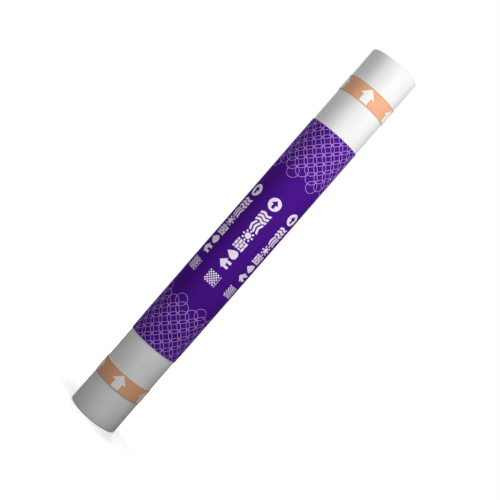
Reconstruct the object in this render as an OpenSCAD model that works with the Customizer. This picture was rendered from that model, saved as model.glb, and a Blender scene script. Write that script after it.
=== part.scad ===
// Vapour barrier membrane, wound on a cardboard core tube into a roll that stands on its end.
// A printed sleeve wraps the middle of the roll, and a marked tape band goes round it near each end.
// The origin is the centre of the bottom end, +Z runs up the roll's axis, and sizes are in millimetres.

/* [Membrane roll] */
// Width of the membrane, which is the height of the standing roll
membrane_w = 1600; // [1200:10:2400]
// Outside diameter of the wound membrane
roll_d = 192; // [140:1:300]
// Radius of the soft outer edge at each end of the winding
rim_r = 6; // [1:0.5:12]

/* [Core tube] */
// Bore of the cardboard tube
core_bore_d = 50; // [38:1:76]
// Wall of the cardboard tube
core_wall = 3; // [1.5:0.5:6]
// How far the tube stops short of each end of the winding
core_recess = 2; // [0:0.5:10]
// Room between the tube and the first turn
core_gap = 0.1; // [0.05:0.05:0.5]

/* [Printed sleeve] */
// Membrane left bare below the sleeve
bare_below = 324; // [275:1:500]
// Membrane left bare above the sleeve
bare_above = 316; // [275:1:500]
// Thickness of the sleeve, with its folds and slack
sleeve_t = 1.4; // [0.4:0.1:3]

/* [Tape bands] */
// Width of each band along the roll
band_w = 65; // [30:1:100]
// Thickness of each band, with its overlap
band_t = 1.2; // [0.3:0.1:3]
// Distance from the roll's bottom end to the lower band
lower_band_inset = 132; // [20:1:165]
// Distance from the roll's top end to the upper band
upper_band_inset = 119; // [20:1:165]
// Room between the outer turn and what is wrapped round it
wrap_gap = 0.1; // [0.05:0.05:0.5]

/* [Hidden] */

$fn = 128;
// Length that a cutting shape runs past the face it cuts
overrun = 1;

roll_r = roll_d / 2;
core_bore_r = core_bore_d / 2;
core_r = core_bore_r + core_wall;
winding_bore_r = core_r + core_gap;
core_len = membrane_w - 2 * core_recess;
wrap_r = roll_r + wrap_gap;
sleeve_len = membrane_w - bare_below - bare_above;
upper_band_z = membrane_w - upper_band_inset - band_w;

// A round tube that stands on z = 0
module tube(inner_r, outer_r, length) {
    difference() {
        cylinder(r = outer_r, h = length);
        translate([0, 0, -overrun])
            cylinder(r = inner_r, h = length + 2 * overrun);
    }
}

// Half section of the winding: a rectangle beside the axis, with its two outer corners rounded
module winding_section() {
    difference() {
        translate([winding_bore_r, 0])
            square([roll_r - winding_bore_r, membrane_w]);
        rim_cut();
        translate([0, membrane_w])
            mirror([0, 1])
                rim_cut();
    }
}

// What the round outer edge takes off the section's lower corner
module rim_cut() {
    difference() {
        translate([roll_r - rim_r, -overrun])
            square([rim_r + overrun, rim_r + overrun]);
        translate([roll_r - rim_r, rim_r])
            circle(r = rim_r);
    }
}

// The wound membrane, turned as one solid with the bore that its core tube fills
module membrane_roll() {
    color("whitesmoke")
        rotate_extrude()
            winding_section();
}

// The cardboard tube that the membrane is wound on
module core_tube() {
    color("burlywood")
        translate([0, 0, core_recess])
            tube(core_bore_r, core_r, core_len);
}

// The printed sheet that is wrapped round the middle of the roll
module printed_sleeve() {
    color("indigo")
        translate([0, 0, bare_below])
            tube(wrap_r, wrap_r + sleeve_t, sleeve_len);
}

// One tape band, with its lower edge at the given height
module tape_band(z) {
    color("lightsalmon")
        translate([0, 0, z])
            tube(wrap_r, wrap_r + band_t, band_w);
}

module lower_tape_band() {
    tape_band(lower_band_inset);
}

module upper_tape_band() {
    tape_band(upper_band_z);
}

membrane_roll();
core_tube();
printed_sleeve();
lower_tape_band();
upper_tape_band();
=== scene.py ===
"""A roll of vapour barrier membrane: wound film on a cardboard core, a printed sleeve and two tape bands.

Every length is in metres. The roll stands on its lower end at the origin, with +Z up its axis. Angles round
the roll are measured from its front, which faces -Y, towards +X.
"""

import logging
import math
from bisect import bisect
from dataclasses import dataclass, field
from enum import Enum
from functools import reduce
from typing import Iterable, Sequence

import bmesh
import bpy
from mathutils import Matrix, Vector, noise


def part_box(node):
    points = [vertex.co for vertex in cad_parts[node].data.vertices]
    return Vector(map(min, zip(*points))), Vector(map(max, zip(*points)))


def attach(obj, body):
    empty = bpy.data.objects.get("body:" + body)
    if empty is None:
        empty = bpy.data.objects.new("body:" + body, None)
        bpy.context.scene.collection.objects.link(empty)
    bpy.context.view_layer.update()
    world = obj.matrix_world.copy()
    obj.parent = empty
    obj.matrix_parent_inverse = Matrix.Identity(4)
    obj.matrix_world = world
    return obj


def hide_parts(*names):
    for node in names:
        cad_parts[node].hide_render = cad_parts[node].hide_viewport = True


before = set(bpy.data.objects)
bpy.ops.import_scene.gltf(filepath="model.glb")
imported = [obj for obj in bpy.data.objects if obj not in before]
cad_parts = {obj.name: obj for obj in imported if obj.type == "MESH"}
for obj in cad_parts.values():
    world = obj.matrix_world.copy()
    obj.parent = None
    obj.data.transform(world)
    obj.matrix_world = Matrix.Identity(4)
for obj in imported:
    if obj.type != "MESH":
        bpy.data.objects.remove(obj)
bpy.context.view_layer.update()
LOG = logging.getLogger("membrane_roll")
MM = 0.001
FULL_TURN = 2.0 * math.pi
CORE_CLEARANCE = 0.1 * MM
STRIP_WIDTH = 5.0 * MM
SLIVER = 0.02 * MM
BODY = "root"

Colour = tuple[float, float, float]
Scale = tuple[float, float, float]
Point = tuple[float, float]
Socket = bpy.types.NodeSocket
Vertex = bmesh.types.BMVert
Element = bmesh.types.BMVert | bmesh.types.BMEdge | bmesh.types.BMFace
Mesh = bmesh.types.BMesh
Material = bpy.types.Material


# --- finishes ---


@dataclass(frozen=True)
class Grain:
    """A noise in a surface: how fine it is, its levels of detail and how it is scaled along each axis."""

    fineness: float
    detail: float
    scale: Scale | None = None


@dataclass(frozen=True)
class Relief:
    """How deep a pattern is pressed into a surface, and how much of that shows."""

    depth: float
    strength: float = 1.0


class NodeTree:
    """The nodes of a material or of the world, under construction."""

    def __init__(self, owner: Material | bpy.types.World) -> None:
        """Start with an empty tree.

        Args:
            owner: The material or the world that uses the nodes.
        """
        owner.use_nodes = True
        self.owner = owner
        self.tree = owner.node_tree
        self.tree.nodes.clear()

    def add(self, kind: str, **values: float | Colour) -> bpy.types.Node:
        """Add a node.

        Args:
            kind: The node's type, without the words that every type starts with.
            values: Plain values for its sockets, with underscores for the spaces in their names.

        Returns:
            The node.
        """
        node = self.tree.nodes.new(f"ShaderNode{kind}")
        for name, value in values.items():
            socket = node.inputs[name.replace("_", " ")]
            socket.default_value = (*value, 1.0) if isinstance(value, tuple) else value
        return node

    def join(self, source: Socket, target: Socket) -> None:
        """Link one socket to another."""
        self.tree.links.new(source, target)

    def feed(self, node: bpy.types.Node, *values: Socket | float) -> Socket:
        """Fill a node's inputs from the first one on.

        Args:
            node: The node.
            values: Sockets or numbers, in the order of the inputs.

        Returns:
            The node's result.
        """
        for value, socket in zip(values, node.inputs):
            if isinstance(value, Socket):
                self.join(value, socket)
            else:
                socket.default_value = value
        return node.outputs[0]

    def math(self, operation: str, *values: Socket | float) -> Socket:
        """Add a Math node.

        Args:
            operation: The node's operation.
            values: Sockets or numbers, in the order of the node's inputs.

        Returns:
            The node's result.
        """
        node = self.add("Math")
        node.operation = operation
        return self.feed(node, *values)

    def shown(self, unseen: Socket, seen: Socket) -> Socket:
        """Choose between two shaders by what meets them.

        Args:
            unseen: The shader for light that bounces.
            seen: The shader for camera, glossy and transmission rays.

        Returns:
            The chosen shader.
        """
        path = self.add("LightPath")
        looked_at = path.outputs["Is Camera Ray"]
        for name in ("Is Glossy Ray", "Is Transmission Ray"):
            looked_at = self.math("MAXIMUM", looked_at, path.outputs[name])
        return self.feed(self.add("MixShader"), looked_at, unseen, seen)


class SurfaceNodes(NodeTree):
    """One finish under construction: its nodes and its principled shader."""

    def __init__(self, name: str, gloss: float) -> None:
        """Start an empty material.

        Args:
            name: The finish's name.
            gloss: The shader's specular level.
        """
        super().__init__(bpy.data.materials.new(name))
        self.shader = self.add("BsdfPrincipled", Specular_IOR_Level=gloss)
        self.join(self.shader.outputs["BSDF"], self.add("OutputMaterial").inputs["Surface"])
        self.place = self.add("TexCoord").outputs["Object"]

    def turned(self) -> tuple[Socket, Socket, Socket]:
        """Read the surface's place round the roll.

        Returns:
            The angle round the axis in radians, the distance from the axis and the height.
        """
        parts = self.add("SeparateXYZ")
        self.join(self.place, parts.inputs[0])
        x, y, z = parts.outputs
        squares = [self.math("MULTIPLY", side, side) for side in (x, y)]
        return self.math("ARCTAN2", x, y), self.math("SQRT", self.math("ADD", *squares)), z

    def noise(self, grain: Grain, where: Socket | None = None) -> Socket:
        """Add a noise.

        Args:
            grain: How fine it is and how it is scaled.
            where: The place that it is read at. The piece's own coordinates, if it isn't given.

        Returns:
            The noise's value, from 0 to 1.
        """
        if where is None:
            where = self.place
        if grain.scale is not None:
            mapping = self.add("Mapping")
            mapping.inputs["Scale"].default_value = grain.scale
            where = self.feed(mapping, where)
        node = self.add("TexNoise", Scale=grain.fineness, Detail=grain.detail)
        self.join(where, node.inputs["Vector"])
        return node.outputs["Fac"]

    def mixed(self, values: Sequence[Socket], shares: Sequence[float]) -> Socket:
        """Add values up, each times its share."""
        parts = [self.math("MULTIPLY", value, share) for value, share in zip(values, shares)]
        return reduce(lambda total, part: self.math("ADD", total, part), parts)

    def tinted(self, value: Socket, colour: Colour, tones: Sequence[Point]) -> Socket:
        """Turn a value into darker and lighter tones of a colour.

        Args:
            value: The value that picks the tone.
            colour: The colour.
            tones: Places from 0 to 1, each with the colour's brightness there, in rising order.

        Returns:
            The tone.
        """
        node = self.add("ValToRGB")
        stops = node.color_ramp.elements
        while len(stops) < len(tones):
            stops.new(0.5)
        for stop, (position, brightness) in zip(stops, tones):
            stop.position = position
            stop.color = (*(channel * brightness for channel in colour), 1.0)
        return self.feed(node, value)

    def bump(self, height: Socket, relief: Relief, under: Socket | None = None) -> Socket:
        """Add relief to the surface.

        Args:
            height: The relief's height, from 0 to 1.
            relief: What a height of 1 stands for, and how much of it shows.
            under: The normal of a coarser relief that lies under this one.

        Returns:
            The new normal.
        """
        node = self.add("Bump", Strength=relief.strength, Distance=relief.depth)
        self.join(height, node.inputs["Height"])
        if under is not None:
            self.join(under, node.inputs["Normal"])
        return node.outputs["Normal"]

    def dress(self, colour: Socket, wear: Socket, roughness: Point, normal: Socket) -> Material:
        """Join the finished surface to the shader.

        Args:
            colour: The colour.
            wear: The value from 0 to 1 that the roughness follows.
            roughness: The roughness at a wear of 0, and how much a wear of 1 adds.
            normal: The normal.

        Returns:
            The material.
        """
        rough = self.math("ADD", self.math("MULTIPLY", wear, roughness[1]), roughness[0])
        for name, value in (("Base Color", colour), ("Roughness", rough), ("Normal", normal)):
            self.join(value, self.shader.inputs[name])
        return self.owner


def even_tones(spread: float, contrast: float) -> Sequence[Point]:
    """Give a tone darker by the spread and one lighter, each the contrast away from the middle value."""
    return ((0.5 - contrast, 1.0 - spread), (0.5 + contrast, 1.0 + spread))


@dataclass(frozen=True)
class MembraneFinish:
    """Spunbonded film: soft white, point-bonded in a fine lattice, a little cloudy."""

    colour: Colour = (0.82, 0.82, 0.82)
    cloudiness: float = 0.03
    contrast: float = 0.18
    gloss: float = 0.0
    roughness: Point = (0.52, 0.16)
    clouds: Grain = Grain(26.0, 4.0, (1.0, 1.0, 0.45))
    fibres: Grain = Grain(700.0, 2.0, (1.0, 1.0, 0.2))
    shares: Sequence[float] = (0.8, 0.2)
    slack: Grain = Grain(14.0, 2.0, (1.0, 1.0, 0.3))
    slack_relief: Relief = Relief(0.6 * MM)
    fibre_relief: Relief = Relief(0.05 * MM, 0.6)
    bond_pitch: float = 2.2 * MM
    bond_relief: Relief = Relief(0.05 * MM, 0.5)

    def material(self) -> Material:
        """Make the film's material.

        Returns:
            The material.
        """
        nodes = SurfaceNodes("membrane_film", self.gloss)
        angle, radius, height = nodes.turned()
        around = nodes.math("MULTIPLY", angle, radius)
        lines = []
        for slant in ("ADD", "SUBTRACT"):
            phase = nodes.math("MULTIPLY", nodes.math(slant, around, height), FULL_TURN / self.bond_pitch)
            lines.append(nodes.math("SINE", phase))
        clouds, fibres = nodes.noise(self.clouds), nodes.noise(self.fibres)
        mottle = nodes.mixed((clouds, fibres), self.shares)
        colour = nodes.tinted(mottle, self.colour, even_tones(self.cloudiness, self.contrast))
        slack = nodes.bump(nodes.noise(self.slack), self.slack_relief)
        felt = nodes.bump(fibres, self.fibre_relief, slack)
        normal = nodes.bump(nodes.math("MULTIPLY", *lines), self.bond_relief, felt)
        return nodes.dress(colour, clouds, self.roughness, normal)


@dataclass(frozen=True)
class TurnEdgeFinish:
    """The cut edges of the wound film, whose tint changes a little from turn to turn."""

    colour: Colour = (0.80, 0.795, 0.785)
    tones: Sequence[Point] = ((0.36, 0.66), (0.64, 1.119))
    gloss: float = 0.0
    roughness: Point = (0.6, 0.2)
    pitch: float = 0.6 * MM
    broad: Grain = Grain(190.0, 1.0)
    fine: Grain = Grain(900.0, 1.0)
    patches: Grain = Grain(60.0, 2.0)
    shares: Sequence[float] = (0.6, 0.3, 0.1)
    cut: Grain = Grain(1500.0, 2.0)
    cut_relief: Relief = Relief(0.05 * MM, 0.7)

    def material(self) -> Material:
        """Make the turn edges' material.

        Returns:
            The material.
        """
        nodes = SurfaceNodes("membrane_turn_edges", self.gloss)
        angle, radius, _ = nodes.turned()
        along = nodes.math("ADD", radius, nodes.math("MULTIPLY", angle, self.pitch / FULL_TURN))
        bands = []
        for line, grain in enumerate((self.broad, self.fine)):
            bands.append(nodes.noise(grain, nodes.feed(nodes.add("CombineXYZ"), along, float(line))))
        tint = nodes.mixed((*bands, nodes.noise(self.patches)), self.shares)
        colour = nodes.tinted(tint, self.colour, self.tones)
        normal = nodes.bump(nodes.noise(self.cut), self.cut_relief)
        return nodes.dress(colour, bands[1], self.roughness, normal)


@dataclass(frozen=True)
class PrintedFilmFinish:
    """Printed plastic film: an even ink with slight density changes, drawn tight with faint wrinkles."""

    name: str
    colour: Colour
    unevenness: float = 0.05
    contrast: float = 0.2
    gloss: float = 0.01
    roughness: Point = (0.53, 0.14)
    streaks: Grain = Grain(90.0, 3.0, (1.0, 1.0, 0.12))
    specks: Grain = Grain(420.0, 2.0)
    shares: Sequence[float] = (0.7, 0.3)
    rub: Grain = Grain(35.0, 4.0)
    pulls: Grain = Grain(22.0, 2.0, (1.0, 1.0, 2.6))
    pull_relief: Relief = Relief(0.5 * MM)
    speck_relief: Relief = Relief(0.03 * MM, 0.5)

    def material(self) -> Material:
        """Make the printed film's material.

        Returns:
            The material.
        """
        nodes = SurfaceNodes(self.name, self.gloss)
        specks = nodes.noise(self.specks)
        density = nodes.mixed((nodes.noise(self.streaks), specks), self.shares)
        colour = nodes.tinted(density, self.colour, even_tones(self.unevenness, self.contrast))
        drawn = nodes.bump(nodes.noise(self.pulls), self.pull_relief)
        normal = nodes.bump(specks, self.speck_relief, drawn)
        return nodes.dress(colour, nodes.noise(self.rub), self.roughness, normal)


@dataclass(frozen=True)
class TapePaperFinish:
    """Printed paper tape: matt, with short fibres in it and a faint crosswise crepe."""

    name: str
    colour: Colour
    mottle: float = 0.045
    contrast: float = 0.18
    gloss: float = 0.0
    roughness: Point = (0.58, 0.14)
    fibres: Grain = Grain(900.0, 3.0, (0.35, 0.35, 1.0))
    blotches: Grain = Grain(55.0, 3.0)
    shares: Sequence[float] = (0.45, 0.55)
    crepe: Grain = Grain(260.0, 2.0, (0.2, 0.2, 1.0))
    crepe_relief: Relief = Relief(0.12 * MM, 0.6)
    fibre_relief: Relief = Relief(0.04 * MM, 0.5)

    def material(self) -> Material:
        """Make the tape paper's material.

        Returns:
            The material.
        """
        nodes = SurfaceNodes(self.name, self.gloss)
        fibres, blotches = nodes.noise(self.fibres), nodes.noise(self.blotches)
        mix = nodes.mixed((fibres, blotches), self.shares)
        colour = nodes.tinted(mix, self.colour, even_tones(self.mottle, self.contrast))
        crepe = nodes.bump(nodes.noise(self.crepe), self.crepe_relief)
        normal = nodes.bump(fibres, self.fibre_relief, crepe)
        return nodes.dress(colour, blotches, self.roughness, normal)


@dataclass(frozen=True)
class CardboardFinish:
    """Spiral-wound grey-brown board, with its plies on the cut ends and a seam that climbs the wall."""

    colour: Colour = (0.42, 0.27, 0.155)
    tones: Sequence[Point] = ((0.3, 0.72), (0.5, 1.0), (0.7, 1.22))
    gloss: float = 0.2
    roughness: Point = (0.72, 0.15)
    fibres: Grain = Grain(500.0, 3.0, (1.0, 1.0, 0.4))
    stains: Grain = Grain(60.0, 3.0)
    ply: float = 0.6 * MM
    shares: Sequence[float] = (0.5, 0.5, 0.07)
    seam_climb: float = 110.0 * MM
    seam_width: float = 0.02
    seam_dark: float = 0.15
    relief: Relief = Relief(0.2 * MM, 0.6)

    def material(self) -> Material:
        """Make the board's material.

        Returns:
            The material.
        """
        nodes = SurfaceNodes("core_board", self.gloss)
        angle, radius, height = nodes.turned()
        climb = nodes.math("MULTIPLY", angle, self.seam_climb / FULL_TURN)
        spiral = nodes.math("DIVIDE", nodes.math("ADD", height, climb), self.seam_climb)
        nearness = nodes.math("ABSOLUTE", nodes.math("SINE", spiral))
        seam = nodes.math("MULTIPLY", nodes.math("LESS_THAN", nearness, self.seam_width), self.seam_dark)
        plies = nodes.math("SINE", nodes.math("MULTIPLY", radius, FULL_TURN / self.ply))
        stains = nodes.noise(self.stains)
        light = nodes.mixed((nodes.noise(self.fibres), stains, plies), self.shares)
        marked = nodes.math("SUBTRACT", light, seam)
        colour = nodes.tinted(marked, self.colour, self.tones)
        return nodes.dress(colour, stains, self.roughness, nodes.bump(marked, self.relief))


class Finish(Enum):
    """The named finishes of the roll, each made once."""

    MEMBRANE = MembraneFinish()
    TURN_EDGES = TurnEdgeFinish()
    SLEEVE_PURPLE = PrintedFilmFinish("sleeve_purple_film", (0.069, 0.0078, 0.252))
    # Pale sleeve edge: bare film, and a painted highlight along the film's edge.
    SLEEVE_EDGE_AND_HIGHLIGHT = PrintedFilmFinish("sleeve_bare_margin_and_highlight", (0.86, 0.80, 0.92))
    LATTICE_LILAC = PrintedFilmFinish("lattice_lilac_ink", (0.60, 0.345, 0.84), 0.04)
    SYMBOL_WHITE = PrintedFilmFinish("symbol_white_ink", (0.94, 0.82, 0.99), 0.02)
    TAPE_PEACH = TapePaperFinish("tape_peach_paper", (0.82, 0.42, 0.248))
    # Painted shade: a darker line just inside each tape edge, where the edge curls down.
    TAPE_SHADE_LINE = TapePaperFinish("tape_shade_line", (0.54, 0.285, 0.17))
    # Pale tape edge: the bare cut paper, and a painted highlight along the tape's edge.
    TAPE_EDGE_AND_HIGHLIGHT = TapePaperFinish("tape_cut_edge_and_highlight", (0.93, 0.84, 0.77))
    TAPE_WHITE = TapePaperFinish("tape_white_ink", (0.93, 0.90, 0.88), 0.02)
    CARDBOARD = CardboardFinish()

    def made(self) -> Material:
        """Give this finish's material, which is made the first time that it is asked for.

        Returns:
            The material.
        """
        name = f"{self.name.lower()}_finish"
        found = bpy.data.materials.get(name)
        if found is None:
            found = self.value.material()
            found.name = name
        return found


# --- shared mesh work ---


@dataclass(frozen=True)
class TurnedPlace:
    """Where a turned solid stands: the heights of its ends and its outer radius."""

    low: float
    high: float
    radius: float

    @classmethod
    def of_node(cls, node: str) -> "TurnedPlace":
        """Read a node's place from the frame."""
        low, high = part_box(node)
        return cls(low.z, high.z, (high.x - low.x) / 2.0)


def finish_piece(
    name: str,
    shape: Mesh,
    finishes: Sequence[Finish],
    node: str = "",
    sharp_above: float = math.radians(35.0),
) -> None:
    """Turn a bmesh into a smooth-shaded piece that rides on the roll.

    Args:
        name: The piece's name.
        shape: The bmesh, which is freed.
        finishes: The finishes, in the order of the faces' material numbers.
        node: The CAD node that the piece stands for, if it stands for one.
        sharp_above: Edges that turn by more than this angle stay sharp.
    """
    mesh = bpy.data.meshes.new(name)
    for face in shape.faces:
        face.smooth = True
    shape.to_mesh(mesh)
    shape.free()
    mesh.set_sharp_from_angle(angle=sharp_above)
    for finish in finishes:
        mesh.materials.append(finish.made())
    piece = bpy.data.objects.new(name, mesh)
    bpy.context.scene.collection.objects.link(piece)
    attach(piece, BODY)
    if node:
        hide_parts(node)
    LOG.info("%s: %d faces", name, len(mesh.polygons))


def whole(shape: Mesh) -> list[Element]:
    """Give everything that a bmesh holds."""
    return shape.verts[:] + shape.edges[:] + shape.faces[:]


def vertices_in(geometry: Iterable[Element]) -> list[Vertex]:
    """Pick the vertices out of an operator's result."""
    return [item for item in geometry if isinstance(item, Vertex)]


def flat_grid(shape: Mesh, columns: int, rows: int) -> list[Vertex]:
    """Add a grid that runs from 0 to 1 both ways.

    Args:
        shape: The bmesh that takes the grid.
        columns: Faces along u.
        rows: Faces along v.

    Returns:
        The grid's vertices.
    """
    made = bmesh.ops.create_grid(shape, x_segments=columns, y_segments=rows, size=0.5)["verts"]
    bmesh.ops.translate(shape, verts=made, vec=(0.5, 0.5, 0.0))
    return made


def thicken(shape: Mesh, height: float) -> None:
    """Give flat faces a top at a height above them and walls between the two.

    Args:
        shape: The bmesh that holds the faces.
        height: The height of the top.
    """
    grown = bmesh.ops.extrude_face_region(shape, geom=shape.faces[:])["geom"]
    bmesh.ops.translate(shape, verts=vertices_in(grown), vec=(0.0, 0.0, height))
    bmesh.ops.recalc_face_normals(shape, faces=shape.faces[:])


def on_cylinder(angle: float, radius: float, height: float) -> Vector:
    """Give the point at an angle round the roll, a distance from its axis and a height."""
    return Vector((radius * math.sin(angle), -radius * math.cos(angle), height))


def ease(value: float) -> float:
    """Rise smoothly from 0 to 1 as the value does, and stay flat outside."""
    value = min(max(value, 0.0), 1.0)
    return value * value * (3.0 - 2.0 * value)


# --- wound film ---


@dataclass(frozen=True)
class Drift:
    """A random drift along the winding: its size, how fast it changes, and where in the noise it is read."""

    size: float
    rate: float
    line: Point

    def after(self, laps: float) -> float:
        """Give the drift after some turns."""
        return self.size * noise.noise(Vector((laps * self.rate, *self.line)))


@dataclass
class WoundMembrane:
    """The membrane, one long strip wound on its core, with every turn showing on both ends.

    A turn's edge is a ridge between two grooves. Each turn has slipped a little along the axis, and the
    outer wall waves slightly inwards from its full radius. Its start, and what counts as a long edge, are
    given in rim radii.
    """

    place: TurnedPlace
    bore_radius: float
    turns: int = 112
    steps: int = 96
    strip_rows: int = 3
    groove_share: float = 0.34
    groove_drift: Drift = Drift(0.3, 0.9, (3.1, 0.0))
    groove_depth: float = 1.3 * MM
    groove_fade: float = 0.8
    slip_share: float = 0.5
    slip_drifts: Sequence[Drift] = (Drift(0.8, 0.13, (0.0, 7.0)), Drift(0.35, 0.71, (5.0, 2.0)))
    slip_depth: float = 0.9 * MM
    rim_radius: float = 6.0 * MM
    free_edge: float = math.radians(150.0)
    same_point: float = 0.5e-6
    wall_rows: int = 40
    wall_start: float = 1.2
    long_edge: float = 3.0
    waviness: float = 0.15 * MM
    wave_shares: Sequence[float] = (0.7, 0.3)
    wave_rates: Point = (18.0, 5.0)
    ring_rate: float = 40.0
    ring_line: float = 9.0
    wave_reach: float = 40.0 * MM
    wall_slope: float = 0.45

    @property
    def pitch(self) -> float:
        """The distance from one turn to the next."""
        return (self.place.radius - self.bore_radius) / (self.turns + 1)

    def end_depth(self, lap: float, radius: float) -> float:
        """How far a turn's edge lies inside the roll's end, by its slip and by the rounded rim.

        Args:
            lap: The turns wound so far.
            radius: The distance from the axis.

        Returns:
            The depth, 0 at the end plane.
        """
        slip = self.slip_share
        for drift in self.slip_drifts:
            slip += drift.after(lap)
        slip = min(max(slip, 0.0), 1.0) * ease((self.place.radius - radius) / self.rim_radius)
        into_rim = max(radius - (self.place.radius - self.rim_radius), 0.0)
        rounding = self.rim_radius - math.sqrt(max(self.rim_radius**2 - into_rim**2, 0.0))
        return slip * self.slip_depth + rounding

    def wind_end(self, shape: Mesh) -> None:
        """Roll a long flat strip up into the spiral of turn edges on the lower end.

        Args:
            shape: The bmesh that takes the spiral.
        """
        strip = flat_grid(shape, self.turns * self.steps, self.strip_rows)
        last = self.turns + 1.0
        for vertex in strip:
            wound = round(vertex.co.x * self.turns * self.steps) / self.steps
            track = round(vertex.co.y * self.strip_rows)
            middle = wound + 0.5
            gap = self.groove_share + self.groove_drift.after(middle)
            lap = wound + (0.0, gap / 2.0, 1.0 - gap / 2.0, 1.0)[track]
            radius = self.bore_radius + self.pitch * lap
            ridge = 0 < track < self.strip_rows
            depth = self.end_depth(middle if ridge else lap, radius)
            if not ridge:
                depth += self.groove_depth * ease((last - lap) / self.groove_fade)
            angle = self.free_edge + wound * FULL_TURN
            vertex.co = on_cylinder(angle, radius, self.place.low + depth)
        bmesh.ops.remove_doubles(shape, verts=shape.verts[:], dist=self.same_point)

    def close_walls(self, shape: Mesh) -> None:
        """Join both ends by the outer wall and by the bore, and let the outer wall wave a little.

        Args:
            shape: The bmesh that holds both ends.
        """
        rims = [edge for edge in shape.edges if edge.is_boundary]
        middle = (self.place.radius + self.bore_radius) / 2.0
        outer = [edge for edge in rims if edge.verts[0].co.xy.length > middle]
        inner = [edge for edge in rims if edge.verts[0].co.xy.length <= middle]
        bmesh.ops.bridge_loops(shape, edges=inner)
        wall = bmesh.ops.bridge_loops(shape, edges=outer)
        long_edges = {
            edge
            for face in wall["faces"]
            for edge in face.edges
            if abs(edge.verts[0].co.z - edge.verts[1].co.z) > self.rim_radius * self.long_edge
        }
        bmesh.ops.subdivide_edges(shape, edges=list(long_edges), cuts=self.wall_rows, use_grid_fill=True)
        low = self.place.low + self.rim_radius * self.wall_start
        high = self.place.high - self.rim_radius * self.wall_start
        around, along = self.wave_rates
        for vertex in shape.verts:
            x, y, z = vertex.co
            if low < z < high and vertex.co.xy.length > middle:
                wave = noise.noise(Vector((x * around, y * around, z * along)))
                ring = noise.noise(Vector((0.0, self.ring_line, z * self.ring_rate)))
                swell = 1.0 - self.wave_shares[0] * wave - self.wave_shares[1] * ring
                inward = self.waviness * swell * ease(min(z - low, high - z) / self.wave_reach)
                vertex.co.xy *= 1.0 - inward / vertex.co.xy.length

    def build(self) -> None:
        """Make the wound membrane, which stands for its CAD node."""
        shape = bmesh.new()
        self.wind_end(shape)
        middle = (self.place.low + self.place.high) / 2.0
        bmesh.ops.mirror(
            shape,
            geom=whole(shape),
            matrix=Matrix.Translation((0.0, 0.0, -middle)),
            merge_dist=-1.0,
            axis="Z",
        )
        self.close_walls(shape)
        bmesh.ops.recalc_face_normals(shape, faces=shape.faces[:])
        for face in shape.faces:
            outside = face.calc_center_median().xy.length > self.place.radius - 2.0 * self.pitch
            face.material_index = 0 if outside and abs(face.normal.z) < self.wall_slope else 1
        finishes = [Finish.MEMBRANE, Finish.TURN_EDGES]
        finish_piece("wound_membrane", shape, finishes, "membrane_roll")


@dataclass
class CardboardCore:
    """The cardboard tube that the membrane is wound on."""

    place: TurnedPlace
    wall: float = 3.0 * MM
    rows: int = 24
    steps: int = 96
    chamfer: float = 0.5 * MM
    corner: float = math.radians(60.0)
    same_point: float = 0.01 * MM

    def outline(self, shape: Mesh) -> None:
        """Draw the wall's cut outline beside the axis, as a closed loop of edges.

        Args:
            shape: The bmesh that takes the outline.
        """
        flat_grid(shape, 1, self.rows)
        height = self.place.high - self.place.low
        for vertex in shape.verts:
            x, y, _ = vertex.co
            vertex.co = Vector((self.place.radius - self.wall * (1.0 - x), 0.0, self.place.low + y * height))
        inside = [edge for edge in shape.edges if not edge.is_boundary]
        bmesh.ops.delete(shape, geom=shape.faces[:], context="FACES_ONLY")
        bmesh.ops.delete(shape, geom=inside, context="EDGES")

    def build(self) -> None:
        """Make the core, which stands for its CAD node."""
        shape = bmesh.new()
        self.outline(shape)
        bmesh.ops.spin(
            shape,
            geom=shape.verts[:] + shape.edges[:],
            cent=(0.0, 0.0, 0.0),
            axis=(0.0, 0.0, 1.0),
            angle=FULL_TURN,
            steps=self.steps,
            use_merge=True,
        )
        bmesh.ops.remove_doubles(shape, verts=shape.verts[:], dist=self.same_point)
        bmesh.ops.recalc_face_normals(shape, faces=shape.faces[:])
        joined = [edge for edge in shape.edges if len(edge.link_faces) == 2]
        bmesh.ops.bevel(
            shape,
            geom=[edge for edge in joined if edge.calc_face_angle() > self.corner],
            offset=self.chamfer,
            segments=2,
            profile=0.5,
            affect="EDGES",
            material=-1,
        )
        finish_piece("cardboard_core", shape, [Finish.CARDBOARD], "core_tube")


# --- wrapped sheets, prints ---


@dataclass
class Wrap:
    """How a flat sheet lies round the roll: u runs round it from the free edge, v up, n out of it."""

    place: TurnedPlace
    thickness: float
    seam: float
    overlap: float
    tuck: float
    edge_fall: float
    edge_reach: float
    slack: float = 0.1 * MM
    slack_rates: Point = (1.6, 9.0)
    lap_gap: float = 0.05 * MM

    @property
    def round_length(self) -> float:
        """The length once round, at the outer face."""
        return FULL_TURN * self.place.radius

    @property
    def height(self) -> float:
        """The sheet's height."""
        return self.place.high - self.place.low

    def point(self, flat: Vector) -> Vector:
        """Lay a point of the flat sheet round the roll.

        Args:
            flat: The point's u, v and n, with n measured from the sheet's outer face.

        Returns:
            The point in the frame.
        """
        u, v, n = flat
        under = ease((u - self.round_length + self.tuck) / self.tuck) * (self.thickness + self.lap_gap)
        near = min(v, self.height - v)
        curl = self.edge_fall * (1.0 - ease(near / self.edge_reach))
        angle = self.seam + u / self.place.radius
        around, along = self.slack_rates
        spot = Vector((math.sin(angle) * around, -math.cos(angle) * around, v * along + self.place.low))
        loose = self.slack * (0.5 + 0.5 * noise.noise(spot))
        return on_cylinder(angle, self.place.radius - under - curl - loose + n, self.place.low + v)

    def lay(self, shape: Mesh) -> None:
        """Lay every vertex of a flat bmesh round the roll."""
        for vertex in shape.verts:
            vertex.co = self.point(vertex.co)


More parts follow.
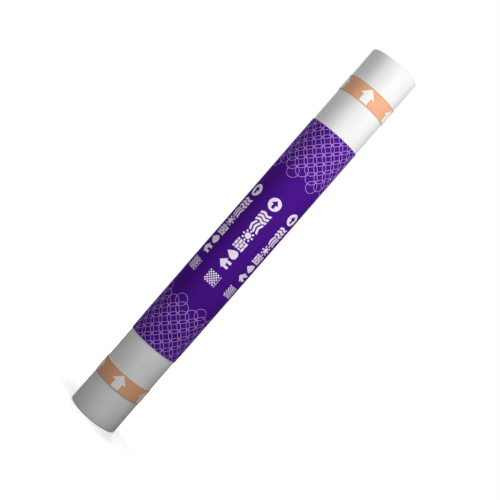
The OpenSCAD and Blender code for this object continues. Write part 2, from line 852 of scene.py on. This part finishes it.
@dataclass
class WrappedSheet:
    """A thin sheet wrapped once round the roll, which laps over its own end at the back."""

    name: str
    node: str
    slot: str
    wrap: Wrap
    face: Finish
    cut: Finish
    columns: int = 160
    border_rows: Sequence[float] = (0.0, 0.5 * MM, 1.2 * MM, 2.2 * MM, 3.4 * MM, 5.0 * MM)
    border_finish: dict[int, Finish] = field(default_factory=dict)
    plain_rows: int = 30
    wall_slope: float = 0.5

    def row_heights(self) -> list[float]:
        """Space the sheet's rows, close together at its edges.

        Returns:
            The rows' heights, rising.
        """
        first = self.border_rows[-1]
        spread = self.wrap.height - 2.0 * first
        inner = [first + spread * step / self.plain_rows for step in range(1, self.plain_rows)]
        upper = [self.wrap.height - value for value in reversed(self.border_rows)]
        return [*self.border_rows, *inner, *upper]

    def build(self) -> None:
        """Make the sheet, which stands for its CAD node."""
        heights = self.row_heights()
        rows = len(heights) - 1
        length = self.wrap.round_length + self.wrap.overlap
        shape = bmesh.new()
        for vertex in flat_grid(shape, self.columns, rows):
            row = round(vertex.co.y * rows)
            vertex.co = Vector((vertex.co.x * length, heights[row], -self.wrap.thickness))
        finishes = list(dict.fromkeys([self.face, self.cut, *self.border_finish.values()]))
        thicken(shape, self.wrap.thickness)
        for face in shape.faces:
            if abs(face.normal.z) < self.wall_slope:
                face.material_index = finishes.index(self.cut)
                continue
            row = bisect(heights, face.calc_center_median().y) - 1
            finish = self.border_finish.get(min(row, rows - 1 - row), self.face)
            face.material_index = finishes.index(finish)
        self.wrap.lay(shape)
        finish_piece(self.name, shape, finishes, self.node)


class FlatArt:
    """Shapes drawn flat, to be raised a little and laid on a wrapped sheet as ink."""

    def __init__(self) -> None:
        """Start with nothing drawn."""
        self.shape = bmesh.new()

    def rectangle(self, low: Point, high: Point, columns: int = 1, rows: int = 1) -> list[Vertex]:
        """Draw a filled rectangle.

        Args:
            low: Its lower left corner.
            high: Its upper right corner.
            columns: Faces across it.
            rows: Faces up it.

        Returns:
            Its vertices.
        """
        made = flat_grid(self.shape, columns, rows)
        width, height = high[0] - low[0], high[1] - low[1]
        bmesh.ops.scale(self.shape, verts=made, vec=(width, height, 1.0))
        bmesh.ops.translate(self.shape, verts=made, vec=(*low, 0.0))
        return made

    def outline(self, corners: Iterable[Point]) -> list[Vertex]:
        """Set out corners, and give their vertices."""
        return [self.shape.verts.new((x, y, 0.0)) for x, y in corners]

    def polygon(self, corners: Iterable[Point]) -> list[Vertex]:
        """Draw a filled outline.

        Args:
            corners: Its corners in order.

        Returns:
            Its vertices.
        """
        made = self.outline(corners)
        self.shape.faces.new(made)
        return made

    def circle(self, radius: float, sides: int, filled: bool) -> list[Vertex]:
        """Draw a circle round the origin, and give its vertices."""
        made = bmesh.ops.create_circle(self.shape, cap_ends=filled, radius=radius, segments=sides)
        return made["verts"]

    def disc(self, centre: Point, radius: float, sides: int = 32) -> list[Vertex]:
        """Draw a filled disc.

        Args:
            centre: Its centre.
            radius: Its radius.
            sides: Its number of sides.

        Returns:
            Its vertices.
        """
        made = self.circle(radius, sides, True)
        bmesh.ops.translate(self.shape, verts=made, vec=(*centre, 0.0))
        return made

    def ring(self, centre: Point, radius: float, width: float, sides: int) -> list[Vertex]:
        """Draw a ring.

        Args:
            centre: Its centre.
            radius: The radius of its line's middle.
            width: Its line's width.
            sides: Its number of sides.

        Returns:
            Its vertices.
        """
        inner = self.circle(radius, sides, False)
        edges = list({edge for vertex in inner for edge in vertex.link_edges})
        outer = vertices_in(bmesh.ops.extrude_edge_only(self.shape, edges=edges)["geom"])
        for vertices, side in ((outer, 0.5), (inner, -0.5)):
            size = (radius + side * width) / radius
            bmesh.ops.scale(self.shape, verts=vertices, vec=(size, size, 1.0))
        bmesh.ops.translate(self.shape, verts=inner + outer, vec=(*centre, 0.0))
        return inner + outer

    def hole(self, outer: Sequence[Vertex], corners: Sequence[Point]) -> None:
        """Cut a hole out of a face drawn before.

        Args:
            outer: The face's vertices.
            corners: The hole's corners in order.
        """
        face = outer[0].link_faces[0]
        rim = list(face.edges)
        bmesh.ops.delete(self.shape, geom=[face], context="FACES_ONLY")
        hole = self.outline(corners)
        edges = [self.shape.edges.new((hole[i - 1], hole[i])) for i in range(len(hole))]
        bmesh.ops.triangle_fill(self.shape, edges=rim + edges, use_beauty=True, use_dissolve=False)

    def move(self, vertices: Sequence[Vertex], matrix: Matrix) -> None:
        """Move some of the drawing."""
        bmesh.ops.transform(self.shape, verts=vertices, matrix=matrix)

    def copy(self, offsets: Iterable[tuple[float, float, float]]) -> None:
        """Draw everything again at each offset from where it lies.

        Args:
            offsets: The offsets.
        """
        first = whole(self.shape)
        for offset in offsets:
            copy = bmesh.ops.duplicate(self.shape, geom=first)["geom"]
            bmesh.ops.translate(self.shape, verts=vertices_in(copy), vec=offset)

    def add(self, other: "FlatArt") -> None:
        """Take over everything that another drawing holds.

        Args:
            other: The other drawing, which is used up.
        """
        mesh = bpy.data.meshes.new("drawing")
        other.shape.to_mesh(mesh)
        other.shape.free()
        self.shape.from_mesh(mesh)
        bpy.data.meshes.remove(mesh)

    def cut(self, at: Point, normal: Point, clear: bool = False) -> None:
        """Cut the drawing along a line.

        Args:
            at: A point of the line.
            normal: The line's normal.
            clear: Whether everything on the side that the normal points to goes.
        """
        bmesh.ops.bisect_plane(
            self.shape,
            geom=whole(self.shape),
            plane_co=(*at, 0.0),
            plane_no=(*normal, 0.0),
            clear_outer=clear,
        )

    def slice(self, low: float, high: float) -> None:
        """Cut the drawing into strips along u, so that it can bend round the roll.

        Args:
            low: Where the first cut lies.
            high: Where the cuts end.
        """
        for index in range(math.floor((high - low) / STRIP_WIDTH) + 1):
            self.cut((low + index * STRIP_WIDTH, 0.0), (1.0, 0.0))
        bmesh.ops.dissolve_degenerate(self.shape, dist=SLIVER, edges=self.shape.edges[:])

    def print_on(self, wrap: Wrap, name: str, slot: str, ink: Finish, proud: float) -> None:
        """Raise the drawing into ink and lay it on a wrapped sheet.

        Args:
            wrap: The sheet that carries the print.
            name: The piece's name.
            slot: Not used.
            ink: The ink's finish.
            proud: How far the ink stands above the sheet.
        """
        thicken(self.shape, proud)
        wrap.lay(self.shape)
        finish_piece(name, self.shape, [ink], sharp_above=math.radians(50.0))


# --- the sleeve ---


@dataclass
class SymbolColumn:
    """One column of the sleeve's print, drawn along x from its tile to its disc, with y as its up.

    Each symbol is drawn round the column's current x.
    """

    art: FlatArt
    x: float = 0.0
    half: float = 21.0 * MM
    cells: int = 8
    tile_length: float = 44.5 * MM
    dashes: int = 5
    dash_step: float = 9.2 * MM
    dash_length: float = 6.6 * MM
    dash_low: float = -27.2 * MM
    dash_high: float = -24.6 * MM
    symbols_start: float = 68.0 * MM
    symbols_length: float = 242.0 * MM
    drop_width: float = 21.5 * MM
    drop_taper: float = 1.25
    drop_sides: int = 36
    course: float = 8.55 * MM
    joint: float = 2.6 * MM
    sun_radius: float = 11.0 * MM
    rays: int = 8
    ray_start: float = 14.0 * MM
    ray_half: float = 3.1 * MM
    step: float = 13.6 * MM
    wisp_half: float = 4.4 * MM
    wisp_sway: float = 2.6 * MM
    wisp_waves: float = 1.5
    wisp_rows: int = 18
    disc_centre: float = 348.0 * MM
    disc_radius: float = 23.8 * MM
    disc_sides: int = 48

    def tile(self) -> None:
        """Draw a plain checker tile, with a row of short dashes under it."""
        wide, tall = self.tile_length / self.cells, 2.0 * self.half / self.cells
        for column in range(self.cells):
            for row in range(column % 2, self.cells, 2):
                low = (column * wide, row * tall - self.half)
                self.art.rectangle(low, (low[0] + wide, low[1] + tall))
        for index in range(self.dashes):
            start = index * self.dash_step
            self.art.rectangle((start, self.dash_low), (start + self.dash_length, self.dash_high))

    def house(self) -> None:
        """Draw a house with a doorway."""
        half = [(4.5, -21.0), (14.0, -21.0), (14.0, 0.0), (20.0, 0.0), (0.0, 21.0)]
        left = [(-a, b) for a, b in reversed(half[:-1])]
        self.art.polygon([(self.x + a * MM, b * MM) for a, b in [(-4.5, -6.0), (4.5, -6.0), *half, *left]])

    def drop(self) -> None:
        """Draw a falling drop, out of a disc of radius 1 that gets narrower towards its top."""
        for vertex in self.art.disc((0.0, 0.0), 1.0, self.drop_sides):
            across, up = vertex.co.xy
            narrow = math.sqrt((1.0 - up) / 2.0) ** self.drop_taper
            vertex.co = Vector((self.x + across * narrow * self.drop_width, up * self.half, 0.0))

    def bricks(self) -> None:
        """Draw four courses of staggered brickwork."""
        pair = [(-17.5, -1.3), (1.3, 17.5)]
        staggered = [(-17.5, -10.4), (-7.8, 7.8), (10.4, 17.5)]
        for row, spans in enumerate((pair, staggered, pair, staggered)):
            low = row * (self.course + self.joint) - self.half
            for start, end in spans:
                self.art.rectangle((self.x + start * MM, low), (self.x + end * MM, low + self.course))

    def sun(self) -> None:
        """Draw a sun with its rays."""
        self.art.disc((self.x, 0.0), self.sun_radius)
        for ray in range(self.rays):
            made = self.art.rectangle((-self.ray_half, self.ray_start), (self.ray_half, self.half))
            turn = Matrix.Rotation(ray * FULL_TURN / self.rays, 4, "Z")
            self.art.move(made, Matrix.Translation((self.x, 0.0, 0.0)) @ turn)

    def layers(self) -> None:
        """Draw three pitched layers, one above another."""
        outline = [(-18.5, 0.0), (0.0, 6.6), (18.5, 0.0), (18.5, 8.2), (0.0, 14.8), (-18.5, 8.2)]
        for index in (0, 1, 2):
            low = index * self.step - self.half
            self.art.polygon([(self.x + a * MM, low + b * MM) for a, b in outline])

    def vapour(self) -> None:
        """Draw three rising wisps."""
        for index in (-1, 0, 1):
            middle = self.x + index * self.step
            low, high = (middle - self.wisp_half, -self.half), (middle + self.wisp_half, self.half)
            for vertex in self.art.rectangle(low, high, 1, self.wisp_rows):
                sway = math.sin(vertex.co.y / self.half * math.pi * self.wisp_waves)
                vertex.co.x += self.wisp_sway * sway

    def disc(self) -> None:
        """Draw a disc with an arrow cut out of it, which points along the roll."""
        rim = self.art.disc((self.disc_centre, 0.0), self.disc_radius, self.disc_sides)
        half = [(15.5, 0.0), (0.0, 14.0), (0.0, 5.5), (-15.0, 5.5)]
        arrow = half + [(a, -b) for a, b in reversed(half[1:])]
        self.art.hole(rim, [(self.disc_centre + a * MM, b * MM) for a, b in arrow])

    def draw(self) -> None:
        """Draw the whole column."""
        self.tile()
        symbols = (self.house, self.drop, self.bricks, self.sun, self.layers, self.vapour)
        cell = self.symbols_length / len(symbols)
        for index, symbol in enumerate(symbols):
            self.x = self.symbols_start + (index + 0.5) * cell
            symbol()
        self.disc()


@dataclass
class PrintedSleeve:
    """The purple film sleeve, with a lattice of overlapping rings at both ends and columns of symbols."""

    place: TurnedPlace
    slot: str = "sleeve_print"
    seam: float = math.radians(-152.0)
    ink: float = 0.14 * MM
    rings_round: int = 14
    ring_steps: int = 28
    line: float = 1.45 * MM
    level_step: float = 0.02 * MM
    zone: float = 214.0 * MM
    margin: float = 2.2 * MM
    lap_margin: float = 0.1 * MM
    columns: int = 6
    column_step: float = math.radians(55.4)
    first_column: float = math.radians(-110.8)
    column_foot: float = 294.0 * MM
    column_reach: float = 40.0 * MM

    def __post_init__(self) -> None:
        """Set how the film lies on the roll."""
        self.wrap = Wrap(
            place=self.place,
            thickness=0.6 * MM,
            seam=self.seam,
            overlap=24.0 * MM,
            tuck=14.0 * MM,
            edge_fall=0.8 * MM,
            edge_reach=4.0 * MM,
        )

    def sheet(self) -> None:
        """Make the film itself, with a pale margin along both edges, where bare film and a painted highlight
        show.
        """
        sleeve = WrappedSheet(
            name="sleeve_sheet",
            node="printed_sleeve",
            slot=self.slot,
            wrap=self.wrap,
            face=Finish.SLEEVE_PURPLE,
            # The cut faces and the three outermost strips on each side are pale: bare film and a painted
            # highlight.
            cut=Finish.SLEEVE_EDGE_AND_HIGHLIGHT,
            border_finish=dict.fromkeys(range(3), Finish.SLEEVE_EDGE_AND_HIGHLIGHT),
        )
        sleeve.build()

    def ring_rows(self, pitch: float) -> FlatArt:
        """Draw one zone of rings, with every other ring left out of its inner border.

        Each ring overlaps its four neighbours by a quarter, so that the lines between them make petals.
        Every other row lies one small step higher, so that no two lines share a plane where they cross.

        Args:
            pitch: The distance from one ring to the next, which is a ring's own width.

        Returns:
            The drawing, with v measured from the zone's outer edge.
        """
        zone = FlatArt()
        columns = range(-1, self.rings_round + 1)
        radius = pitch / 2.0
        rows = math.ceil(self.zone / radius)
        plans = ((0, 2, 1), (1, 1, rows // 2), (2, 1, (rows - 1) // 2))
        for first, stride, count in plans:
            row = FlatArt()
            raised = first % 2 == 1
            start = columns[0] + (0.75 if raised else 0.25)
            centre = (start * pitch, self.zone - radius - first * radius)
            for vertex in row.ring(centre, radius, self.line, self.ring_steps):
                vertex.co.z += self.level_step if raised else 0.0
            row.copy((step * pitch, 0.0, 0.0) for step in range(stride, len(columns), stride))
            row.copy((0.0, -step * pitch, 0.0) for step in range(1, count))
            zone.add(row)
        return zone

    def lattice(self) -> None:
        """Make the lattice of overlapping rings at both ends of the film."""
        length, height = self.wrap.round_length, self.wrap.height
        pitch = length / self.rings_round
        art = self.ring_rows(pitch)
        upper = self.ring_rows(pitch)
        flip = Matrix.Translation((0.0, height, 0.0)) @ Matrix.Diagonal((1.0, -1.0, 1.0, 1.0))
        upper.move(upper.shape.verts[:], flip)
        art.add(upper)
        art.cut((0.0, 0.0), (-1.0, 0.0), True)
        art.cut((length - self.lap_margin, 0.0), (1.0, 0.0), True)
        art.cut((0.0, self.margin), (0.0, -1.0), True)
        art.cut((0.0, height - self.margin), (0.0, 1.0), True)
        art.print_on(self.wrap, "sleeve_lattice_print", self.slot, Finish.LATTICE_LILAC, self.ink)

    def symbols(self) -> None:
        """Make the columns of symbols, which read up the roll."""
        art = FlatArt()
        SymbolColumn(art).draw()
        start = (self.first_column - self.seam) * self.place.radius
        upright = Matrix.Rotation(math.pi / 2.0, 4, "Z")
        art.move(art.shape.verts[:], Matrix.Translation((start, self.column_foot, 0.0)) @ upright)
        step = self.column_step * self.place.radius
        art.copy((index * step, 0.0, 0.0) for index in range(1, self.columns))
        art.slice(start - self.column_reach, self.wrap.round_length)
        art.print_on(self.wrap, "sleeve_symbol_print", self.slot, Finish.SYMBOL_WHITE, self.ink)


@dataclass
class TapeBand:
    """A band of peach paper tape round the roll, printed with white arrows."""

    name: str
    node: str
    place: TurnedPlace
    slot: str = "band_tape"
    seam: float = math.radians(177.5)
    arrows: int = 5
    nearest: float = math.radians(-2.5)
    arrow_height: float = 55.0 * MM
    arrow_width: float = 58.0 * MM
    head_share: float = 0.52
    shaft_share: float = 0.54
    ink: float = 0.12 * MM

    def __post_init__(self) -> None:
        """Set how the tape lies on the roll."""
        self.wrap = Wrap(
            place=self.place,
            thickness=0.4 * MM,
            seam=self.seam,
            overlap=22.0 * MM,
            tuck=10.0 * MM,
            edge_fall=0.8 * MM,
            edge_reach=2.6 * MM,
            slack=0.05 * MM,
        )

    def tape(self) -> None:
        """Make the tape, pale at its cut edges, where bare paper and a painted highlight show, and with a
        darker line of painted shade along each.
        """
        band = WrappedSheet(
            name=self.name,
            node=self.node,
            slot=self.slot,
            wrap=self.wrap,
            face=Finish.TAPE_PEACH,
            # The cut faces and the outermost strip take the pale edge finish: bare paper and a painted
            # highlight.
            cut=Finish.TAPE_EDGE_AND_HIGHLIGHT,
            border_rows=(0.0, 1.2 * MM, 2.3 * MM, 3.4 * MM, 4.6 * MM),
            # The next two strips in from each edge are a darker line of painted shade.
            border_finish={0: Finish.TAPE_EDGE_AND_HIGHLIGHT, 1: Finish.TAPE_SHADE_LINE, 2: Finish.TAPE_SHADE_LINE},
            plain_rows=6,
        )
        band.build()

    def marks(self) -> None:
        """Make the white arrows, which point up the roll."""
        art = FlatArt()
        head = self.head_share * self.arrow_height
        side = self.shaft_share * self.arrow_width / 2.0
        top, tip = self.arrow_height / 2.0, self.arrow_width / 2.0
        right = [(side, -top), (side, top - head), (tip, top - head), (0.0, top)]
        left = [(-x, y) for x, y in reversed(right[:-1])]
        made = art.polygon([*right, *left])
        step = FULL_TURN / self.arrows
        start = ((self.nearest - self.seam) % step) * self.place.radius
        art.move(made, Matrix.Translation((start, self.wrap.height / 2.0, 0.0)))
        art.copy((index * step * self.place.radius, 0.0, 0.0) for index in range(1, self.arrows))
        art.slice(0.0, self.wrap.round_length)
        art.print_on(self.wrap, f"{self.name}_arrows", self.slot, Finish.TAPE_WHITE, self.ink)


# --- the studio ---


@dataclass(frozen=True)
class Lamp:
    """A square soft lamp: where it stands round the roll, the height it looks at, its size and its level."""

    angle: float
    distance: float
    height: float
    aim: float
    size: float
    level: float

    def build(self, index: int) -> None:
        """Make the lamp, hidden from the camera.

        Args:
            index: The lamp's number, for its name.
        """
        data = bpy.data.lights.new(f"soft_lamp_{index}", "AREA")
        data.shape = "SQUARE"
        data.size = self.size
        data.energy = self.level * math.pi**2
        lamp = bpy.data.objects.new(data.name, data)
        lamp.location = on_cylinder(math.radians(self.angle), self.distance, self.height)
        gaze = Vector((0.0, 0.0, self.aim)) - lamp.location
        lamp.rotation_euler = gaze.to_track_quat("-Z", "Y").to_euler()
        lamp.visible_camera = False
        bpy.context.scene.collection.objects.link(lamp)


@dataclass
class Studio:
    """The pale floor, the white surroundings, the soft lamps and the camera.

    The floor and the surroundings are white where they are looked at. Their light on the roll is low, so
    that the lamps shape it. Near the roll the floor's glow fades, which lets the roll's soft shadow show.
    """

    white: Colour = (1.0, 1.0, 1.0)
    ambient: float = 0.03
    floor_radius: float = 8.0
    floor_sides: int = 64
    floor_seen: Colour = (0.9, 0.9, 0.9)
    floor_bounce: Colour = (0.05, 0.05, 0.05)
    glow_reach: Point = (0.15, 0.75)
    glow: Point = (0.3, 1.0)
    lamps: Sequence[Lamp] = (
        Lamp(35.0, 1.2, 1.4, 1.3, 0.9, 0.8),
        Lamp(45.0, 1.2, 2.4, 1.3, 0.9, 1.08),
        Lamp(15.0, 2.2, 1.0, 0.8, 0.9, 1.02),
        Lamp(-30.0, 2.2, 1.0, 0.8, 0.9, 0.96),
        Lamp(-120.0, 2.6, 2.4, 1.2, 1.2, 3.55),
        Lamp(183.0, 2.6, 1.4, 0.9, 0.7, 4.0),
        Lamp(0.0, 0.25, 3.6, 1.6, 1.2, 1.2),
    )
    eye: Vector = field(default_factory=lambda: Vector((0.0372, -3.73, 0.8732)))
    target: Vector = field(default_factory=lambda: Vector((0.0372, 0.0, 0.7932)))
    roll: float = math.radians(41.04)
    lens: float = 77.2
    sensor: float = 36.0

    def surroundings(self) -> None:
        """Make the world: white where it is seen, a low even light elsewhere."""
        world = bpy.data.worlds.new("white_room")
        bpy.context.scene.world = world
        nodes = NodeTree(world)
        light = nodes.add("Background", Color=self.white, Strength=self.ambient).outputs[0]
        seen = nodes.add("Background", Color=self.white).outputs[0]
        nodes.join(nodes.shown(light, seen), nodes.add("OutputWorld").inputs["Surface"])

    def floor_material(self) -> Material:
        """Make the floor's material.

        Returns:
            The material.
        """
        nodes = NodeTree(bpy.data.materials.new("pale_floor"))
        bounce = nodes.add("BsdfDiffuse", Color=self.floor_bounce).outputs[0]
        plain = nodes.add("BsdfDiffuse", Color=self.floor_seen).outputs[0]
        length = nodes.add("VectorMath")
        length.operation = "LENGTH"
        nodes.join(nodes.add("TexCoord").outputs["Object"], length.inputs[0])
        fade = nodes.add("MapRange")
        away = length.outputs["Value"]
        strength = nodes.feed(fade, away, *self.glow_reach, *self.glow)
        glow = nodes.add("Emission")
        nodes.join(strength, glow.inputs["Strength"])
        lit = nodes.feed(nodes.add("AddShader"), plain, glow.outputs[0])
        nodes.join(nodes.shown(bounce, lit), nodes.add("OutputMaterial").inputs["Surface"])
        return nodes.owner

    def floor(self) -> None:
        """Make the pale floor, which shows white with the roll's soft shadow on it."""
        shape = bmesh.new()
        bmesh.ops.create_circle(shape, cap_ends=True, radius=self.floor_radius, segments=self.floor_sides)
        mesh = bpy.data.meshes.new("studio_floor")
        shape.to_mesh(mesh)
        shape.free()
        mesh.materials.append(self.floor_material())
        floor = bpy.data.objects.new("studio_floor", mesh)
        bpy.context.scene.collection.objects.link(floor)

    def camera(self) -> None:
        """Make the camera, rolled about its own axis, and give it to the scene."""
        data = bpy.data.cameras.new("view_camera")
        data.lens = self.lens
        data.sensor_width = self.sensor
        camera = bpy.data.objects.new("view_camera", data)
        look = (self.target - self.eye).to_track_quat("-Z", "Y").to_matrix().to_4x4()
        camera.matrix_world = Matrix.Translation(self.eye) @ look @ Matrix.Rotation(self.roll, 4, "Z")
        bpy.context.scene.collection.objects.link(camera)
        bpy.context.scene.camera = camera

    def build(self) -> None:
        """Make the whole studio."""
        bpy.context.scene.view_settings.view_transform = "Standard"
        self.camera()
        self.surroundings()
        self.floor()
        for index, lamp in enumerate(self.lamps):
            lamp.build(index)


# --- main ---


def main() -> None:
    """Build the roll piece by piece, then the studio round it."""
    logging.basicConfig(level=logging.INFO, format="%(name)s: %(message)s")
    core = TurnedPlace.of_node("core_tube")
    WoundMembrane(TurnedPlace.of_node("membrane_roll"), core.radius + CORE_CLEARANCE).build()
    CardboardCore(core).build()
    sleeve = PrintedSleeve(TurnedPlace.of_node("printed_sleeve"))
    sleeve.sheet()
    sleeve.lattice()
    sleeve.symbols()
    for side in ("lower", "upper"):
        node = f"{side}_tape_band"
        band = TapeBand(f"{side}_band", node, TurnedPlace.of_node(node))
        band.tape()
        band.marks()
    Studio().build()


if __name__ == "__main__":
    main()
